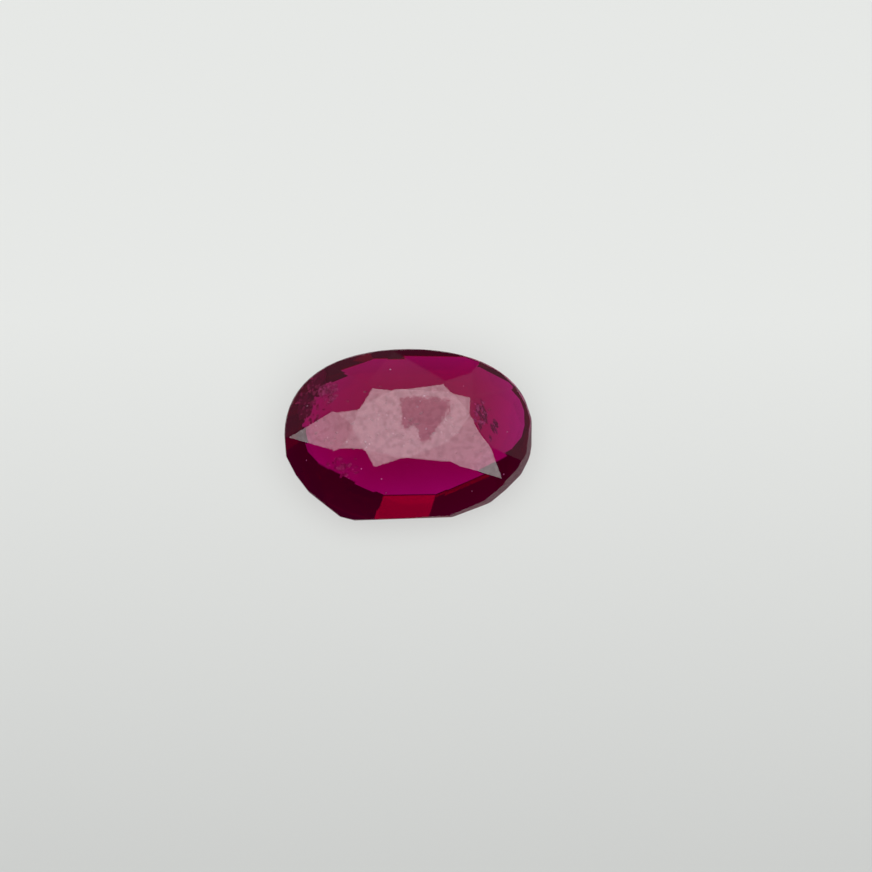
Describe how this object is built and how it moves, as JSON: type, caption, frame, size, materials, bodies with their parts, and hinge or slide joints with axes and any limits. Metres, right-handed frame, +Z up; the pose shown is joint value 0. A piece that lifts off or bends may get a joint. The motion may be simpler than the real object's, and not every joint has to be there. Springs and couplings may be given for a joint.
{
  "type": "faceted oval ruby gemstone",
  "caption": "Loose oval ruby, faceted and polished, with a flat table, a low crown, a thin uneven girdle and a shallow pavilion that it lies on; a stone to set or show.",
  "frame": {"origin": "middle of the stone's length and width, on the surface it lies on", "axes": "+X along the stone's length, +Z up; the stone lies on one shallow pavilion facet, so its table faces up and leans 8 degrees toward -Y"},
  "size_m": [0.008, 0.0054, 0.0029],
  "materials": {
    "ruby": "polished"
  },
  "bodies": {
    "root": {"ruby": "ruby"}
  },
  "joints": []
}
